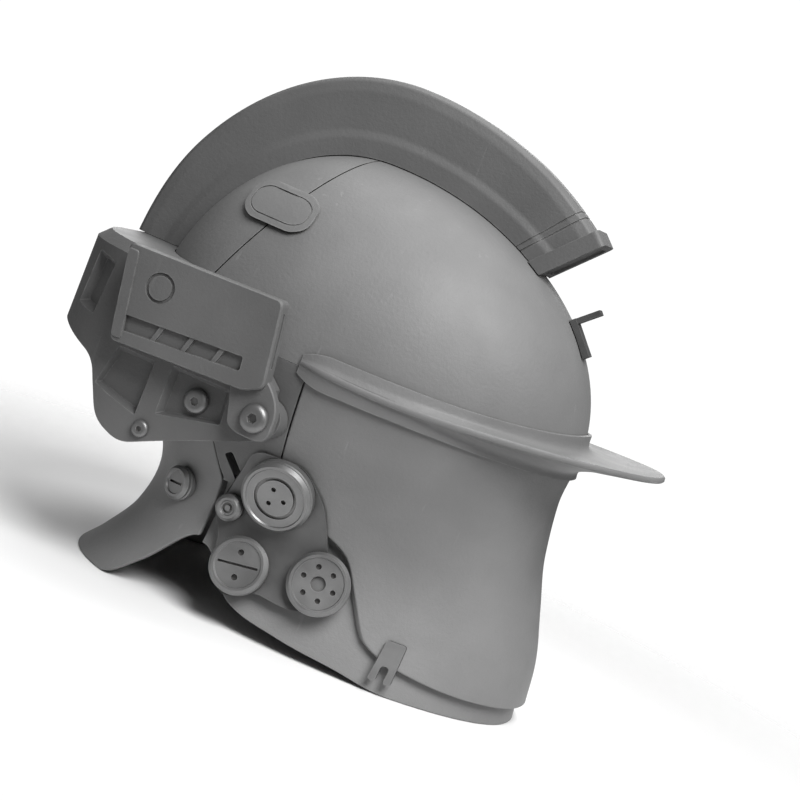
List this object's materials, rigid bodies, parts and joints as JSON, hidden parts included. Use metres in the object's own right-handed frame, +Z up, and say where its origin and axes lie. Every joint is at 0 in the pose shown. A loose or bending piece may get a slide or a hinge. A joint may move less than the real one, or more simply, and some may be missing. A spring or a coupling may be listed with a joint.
{
  "type": "crested close helmet",
  "caption": "Closed crested helmet: two-part skull with tall comb, brim, keeled face guard, neck rim, rear housing, swinging temple modules, jaw discs and nape guard.",
  "frame": {"origin": "centre of the helmet's box, on the surface it stands on", "axes": "+X forward out of the face, +Y the wearer's left, +Z up to the comb"},
  "size_m": [0.3942, 0.2874, 0.359],
  "materials": {
    "shell": "satin mid-grey paint, lightly orange-peeled",
    "dark_shell": "matte darker grey paint",
    "housing": "matte dark grey paint with worn edges",
    "plate": "dull blasted steel",
    "steel": "satin turned steel"
  },
  "bodies": {
    "helmet": {"visor": "shell", "rear_shell": "shell", "face_guard": "shell", "neck_rim": "shell", "nape_guard": "shell", "brim": "shell", "comb": "dark_shell", "comb_cap": "dark_shell", "brow_bracket": "plate", "rear_housing": "housing", "side_panel_right": "dark_shell", "side_panel_left": "dark_shell", "hatch_right": "shell", "hatch_left": "shell", "pivot_bolt_right": "steel", "pivot_bolt_left": "steel", "pocket_boss_right": "steel", "pocket_boss_left": "steel", "housing_screw_right": "steel", "housing_screw_left": "steel", "disc_plate_right": "plate", "disc_plate_left": "plate", "ear_disc_right": "steel", "ear_disc_left": "steel", "jaw_disc_right": "steel", "jaw_disc_left": "steel", "throat_disc_right": "steel", "throat_disc_left": "steel", "link_disc_right": "steel", "link_disc_left": "steel", "nape_disc_right": "steel", "nape_disc_left": "steel", "rim_clip_right": "plate", "rim_clip_left": "plate"},
    "right_module": {"module_right": "dark_shell"},
    "left_module": {"module_left": "dark_shell"}
  },
  "joints": [
    {"name": "right_module_hinge", "type": "hinge", "parent": "helmet", "child": "right_module", "pos_m": [-0.028, -0.1325, 0.134], "axis": [0, 1, 0], "range_deg": [0, 50]},
    {"name": "left_module_hinge", "type": "hinge", "parent": "helmet", "child": "left_module", "pos_m": [-0.028, 0.1325, 0.134], "axis": [0, 1, 0], "range_deg": [0, 50]}
  ]
}
